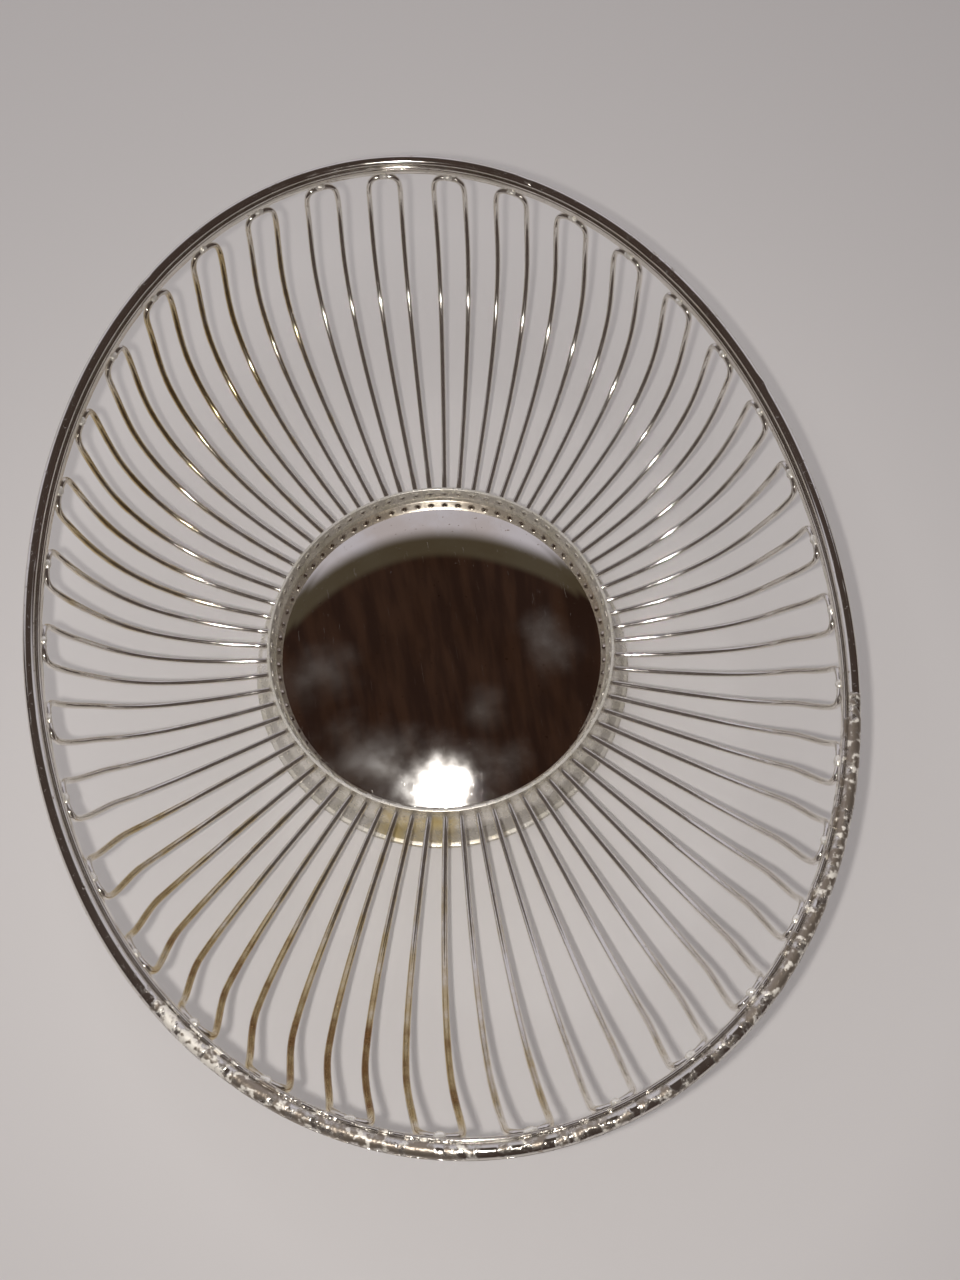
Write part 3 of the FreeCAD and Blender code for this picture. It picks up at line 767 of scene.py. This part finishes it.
top_angle = oval_angle(middles)
along = unit(along_rim(top_angle + 0.01, WIRE_INSET, 0) - along_rim(top_angle - 0.01, WIRE_INSET, 0))
inward = unit(along_rim(top_angle, 5 * MM, 0) - along_rim(top_angle, 4 * MM, 0))
spot_axes = np.stack([along, inward, np.cross(along, inward)], axis=1)
spot_size = np.random.default_rng(41).uniform(0.85, 1.15, (HAIRPINS, 3)) * SPOT_SIZE
spot_centres = along_rim(top_angle, WIRE_INSET + SPOT_INSET, -SPOT_DROP)
rim_spots = skin("rim_solder_spots", balls(spot_centres, spot_axes, spot_size, 18, 12, 0.10, 42), False)
place(rim_spots, "rim_solder", solder_grey)

end_starts = np.concatenate([lines[:, 0], lines[:, -1]])
end_ways = np.concatenate([forward[:, 1], -forward[:, -2]])
end_level = unit(np.cross(end_ways, UP))
end_axes = np.stack([end_level, np.cross(end_ways, end_level), end_ways], axis=1)
end_size = np.random.default_rng(43).uniform(0.92, 1.08, (WIRES, 3)) * END_SIZE
end_balls = balls(end_starts, end_axes, end_size, 16, 8, 0.05, 44)
wire_end_solder = skin("wire_end_solder_rings", end_balls, False)
place(wire_end_solder, "wire_end_solder", solder_grey)
print(len(spot_centres), "spots and", len(end_starts), "rings")

# %% [markdown]
# ## Dome
# The dome is part of a very large ball, pressed from sheet, with a flat seat round its underside. Spinning and
# polishing leave it very slightly wavy, which is what makes a reflection in old plate swim. The outline goes from
# the crown out to a rolled edge, under the seat and back to the axis, and rings of points carry it round. The waves
# fade out towards the edge and the axis, so that the edge stays true.

# %% Dome
DOME_RADIUS, DOME_EDGE_TOP, DOME_RISE, DOME_THICK = 49.1 * MM, 14.9 * MM, 6.5 * MM, 0.8 * MM
SEAT_INNER = 46.7 * MM
EDGE_ROUND, SEAT_ROUND, CROWN_HOLE = 0.35 * MM, 0.12 * MM, 0.4 * MM
CROWN_FADE, EDGE_FADE = 6 * MM, 5 * MM
TOP_RINGS, UNDER_RINGS, DOME_STATIONS = 90, 24, 360
BALL = (DOME_RADIUS ** 2 + DOME_RISE ** 2) / (2 * DOME_RISE)


def dome_height(radius):
    """Height of the dome's top at a radius: edge height + rise - (ball radius - root(ball squared - r squared))."""
    return DOME_EDGE_TOP + DOME_RISE - (BALL - np.sqrt(BALL ** 2 - radius ** 2))


top_radius = np.linspace(CROWN_HOLE, DOME_RADIUS - EDGE_ROUND, TOP_RINGS)
under_radius = np.linspace(SEAT_INNER, CROWN_HOLE, UNDER_RINGS)
edge_turn = np.linspace(np.pi / 2 - 0.26, 0, 6)
edge_height = dome_height(DOME_RADIUS - EDGE_ROUND)
edge_curve = np.stack([DOME_RADIUS - EDGE_ROUND + EDGE_ROUND * np.cos(edge_turn),
                       edge_height - EDGE_ROUND * (1 - np.sin(edge_turn))], axis=1)
dome_section = np.concatenate([
    np.stack([top_radius, dome_height(top_radius)], axis=1), edge_curve,
    [(DOME_RADIUS, LEDGE_TOP + SEAT_ROUND), (DOME_RADIUS - SEAT_ROUND, LEDGE_TOP), (SEAT_INNER, LEDGE_TOP)],
    np.stack([under_radius, dome_height(under_radius) - DOME_THICK], axis=1)])
dome_turn = np.linspace(0, 2 * np.pi, DOME_STATIONS, endpoint=False)[None, :]
dome_r = dome_section[:, :1]
plan_x, plan_y = dome_r * np.cos(dome_turn), dome_r * np.sin(dome_turn)
is_top = (np.arange(len(dome_section)) < len(top_radius))[:, None]
fade = np.clip(dome_r / CROWN_FADE, 0, 1) * np.clip((DOME_RADIUS - dome_r) / EDGE_FADE, 0, 1) * is_top
# One wave in each row: turns in radians per metre along x and y, phase, and size in millimetres.
RIPPLES = ((95, 40, 0.3, 0.024), (-60, 120, 1.9, 0.018), (150, -110, 4.0, 0.005), (210, 170, 2.2, 0.002))
ripple = sum(np.sin(plan_x * kx + plan_y * ky + phase) * size for kx, ky, phase, size in RIPPLES)
dome_z = dome_section[:, 1:] + fade * (ripple - 0.05) * MM
dome = skin("dome_mirror_plate", np.stack([plan_x, plan_y, dome_z], axis=-1), False, crease=40)
place(dome, "dome_plate", dome_mirror)
print(dome.name, "crown at", round(float(dome_z.max() / MM), 2), "mm,", len(dome.data.polygons), "faces")

# %% [markdown]
# ## Foot
# A hollow skirt flares out from under the collar to a flat ring with a rounded edge, which the basket stands on.
# Its outline is one circular arc through three points, and the wall is the same arc moved inwards. The mark
# "stain" runs yellow down the near side.

# %% Foot skirt and ring
SKIRT_TOP, SKIRT_WAIST, SKIRT_FOOT = 50.0 * MM, 51.2 * MM, 56.2 * MM
WAIST_HEIGHT, SKIRT_THICK = 6.5 * MM, 0.8 * MM
RING_OUTER, RING_INNER, RING_THICK = 57.6 * MM, 54.4 * MM, 1.1 * MM
RING_CORNER, SKIRT_WOBBLE, RING_WOBBLE = 0.1 * MM, 0.05 * MM, 0.02 * MM


def arc_through(a, b, c, count):
    """Points of the circle through a, b and c, from a to c: its centre is where the two chords' bisectors meet."""
    a, b, c = (np.array(p, float) for p in (a, b, c))
    system = 2 * np.array([b - a, c - b])
    centre = np.linalg.solve(system, [b @ b - a @ a, c @ c - b @ b])
    first, last = (np.arctan2(*(p - centre)[::-1]) for p in (a, c))
    last = first + (last - first + np.pi) % (2 * np.pi) - np.pi
    turn = np.linspace(first, last, count)
    return centre + np.linalg.norm(a - centre) * np.stack([np.cos(turn), np.sin(turn)], axis=1)


skirt_out = arc_through((SKIRT_TOP, COLLAR_BOTTOM), (SKIRT_WAIST, WAIST_HEIGHT), (SKIRT_FOOT, RING_THICK), 24)
skirt_section = np.concatenate([skirt_out, skirt_out[::-1] - (SKIRT_THICK, 0)])
near_side = {"stain": lambda angle, section: window(angle, 253, 9, 16) * np.clip(
    (COLLAR_BOTTOM + 2 * MM - section[:, 1]) / (8 * MM), 0, 1)}
skirt = turned("foot_skirt_flare", skirt_section, near_side, SKIRT_WOBBLE, 51)
place(skirt, "foot_skirt", corner_plate)

edge_turn = np.linspace(-np.pi / 2, np.pi / 2, 9)
ring_edge = np.stack([RING_OUTER - RING_THICK / 2 + RING_THICK / 2 * np.cos(edge_turn),
                      RING_THICK / 2 + RING_THICK / 2 * np.sin(edge_turn)], axis=1)
ring_section = np.concatenate([ring_edge, [
    (RING_INNER + RING_CORNER, RING_THICK), (RING_INNER, RING_THICK - RING_CORNER),
    (RING_INNER, RING_CORNER), (RING_INNER + RING_CORNER, 0)]])
ring = turned("foot_ring_flat", ring_section, {"stain": lambda angle, section: 0.8 * window(angle, 262, 14, 20)},
              RING_WOBBLE, 52)
place(ring, "foot_ring", corner_plate)
print(skirt.name, len(skirt.data.polygons), "faces;", ring.name, len(ring.data.polygons), "faces")

# %% [markdown]
# ## Floor and light
# A mirror finish shows the room, so the room is part of the look. The floor is plain, pale and matt. A small warm
# lamp sits just left of the camera: it makes the glare on the dome, the sparkle on each wire and the narrow crisp
# shadows, which all fall to the right. A broad soft light only brightens what is matt. The far side of the room is
# pale and the rest is dark brown wood, so the dome and the rim look brown, with a pale band along their far edges.

# %% Floor
FLOOR_HALF = 3.0
floor_mesh = bpy.data.meshes.new("floor")
floor_mesh.from_pydata([(-FLOOR_HALF, -FLOOR_HALF, 0), (FLOOR_HALF, -FLOOR_HALF, 0), (FLOOR_HALF, FLOOR_HALF, 0),
                        (-FLOOR_HALF, FLOOR_HALF, 0)], [], [(0, 1, 2, 3)])
floor = bpy.data.objects.new("floor", floor_mesh)
bpy.context.scene.collection.objects.link(floor)
floor_finish, _, _ = new_finish("pale_floor", Base_Color=(0.68, 0.66, 0.655, 1), Roughness=0.85)
floor_mesh.materials.append(floor_finish)
print("floor at height", floor_mesh.vertices[0].co.z)

# %% Lamps
def lamp(name, at, aim, size, power, colour, in_mirrors=True):
    """A round area light at a point, aimed at another, that mirrors may or may not show."""
    data = bpy.data.lights.new(name, "AREA")
    data.shape, data.size, data.energy, data.color = "DISK", size, power, colour
    made = bpy.data.objects.new(name, data)
    made.location = at
    made.rotation_euler = (Vector(aim) - Vector(at)).to_track_quat("-Z", "Y").to_euler()
    made.visible_glossy = in_mirrors
    made.visible_camera = False
    bpy.context.scene.collection.objects.link(made)
    return made


LAMP_BESIDE = Vector((-0.0148, -0.0014, 0.0))
WARM, NEARLY_WHITE = (1.0, 0.96, 0.91), (1.0, 0.98, 0.97)
lamp("key_lamp", EYE + LAMP_BESIDE, aim=(0, 0, 0.02), size=0.007, power=0.33, colour=WARM)
lamp("soft_fill", (-0.3, 0.1, 1.6), aim=(0, 0, 0), size=1.6, power=15.0, colour=NEARLY_WHITE, in_mirrors=False)
print("two lamps")

# %% [markdown]
# The room itself is painted on the sky by direction, with x to the right, y away and z up. The pale wall is where y
# is well above the slope times z, and above half of x. Overhead is wood, and a band of olive ceiling runs between
# the two. The band bows down at its sides, which is how a flat edge looks in a round mirror.

# %% Room
WOOD_DARK, WOOD_LIGHT = (0.022, 0.0115, 0.0085, 1), (0.037, 0.019, 0.0125, 1)
CEILING, PALE_WALL = (0.070, 0.057, 0.038, 1), (0.50, 0.48, 0.53, 1)
WALL_SLOPE, WALL_BOW, WALL_WIDTH = 0.945, 0.72, 0.5


def paint_room():
    """Wood, then ceiling where y - slope times z + bow times x squared passes 0, then pale wall where it passes
    about 0.15. Ceiling and wall are kept to where y is more than width times the size of x."""
    world = bpy.data.worlds.new("brown_room")
    bpy.context.scene.world = world
    world.use_nodes = True
    tree = world.node_tree
    way = add(tree, "ShaderNodeTexCoord").outputs["Generated"]
    split = add(tree, "ShaderNodeSeparateXYZ", {"Vector": way}).outputs
    x_size = work(tree, "ABSOLUTE", split["X"], 0.0)
    bowed = work(tree, "MULTIPLY", work(tree, "MULTIPLY", x_size, x_size), WALL_BOW)
    above_slope = work(tree, "SUBTRACT", split["Y"], work(tree, "MULTIPLY", split["Z"], WALL_SLOPE))
    towards = work(tree, "ADD", above_slope, bowed)
    wedge = between(tree, work(tree, "SUBTRACT", split["Y"], work(tree, "MULTIPLY", x_size, WALL_WIDTH)), -0.10, 0.05)
    ceiling = work(tree, "MULTIPLY", between(tree, towards, -0.04, 0.02), wedge)
    wall = work(tree, "MULTIPLY", between(tree, towards, 0.09, 0.20), wedge)
    grain = add(tree, "ShaderNodeMapping", {"Vector": way, "Scale": (14, 2.0, 2.0)}).outputs["Vector"]
    figure = add(tree, "ShaderNodeTexNoise", {"Vector": grain, "Scale": 1.6, "Detail": 4.0}).outputs["Fac"]
    wood = colour_mix(tree, between(tree, figure, 0.35, 0.70), WOOD_DARK, WOOD_LIGHT)
    with_ceiling = colour_mix(tree, ceiling, wood, CEILING)
    room = colour_mix(tree, wall, with_ceiling, PALE_WALL)
    back = tree.nodes["Background"]
    tree.links.new(room, back.inputs["Color"])
    back.inputs["Strength"].default_value = 1.0


paint_room()
bpy.context.scene.view_settings.view_transform = "Standard"
print("room painted")
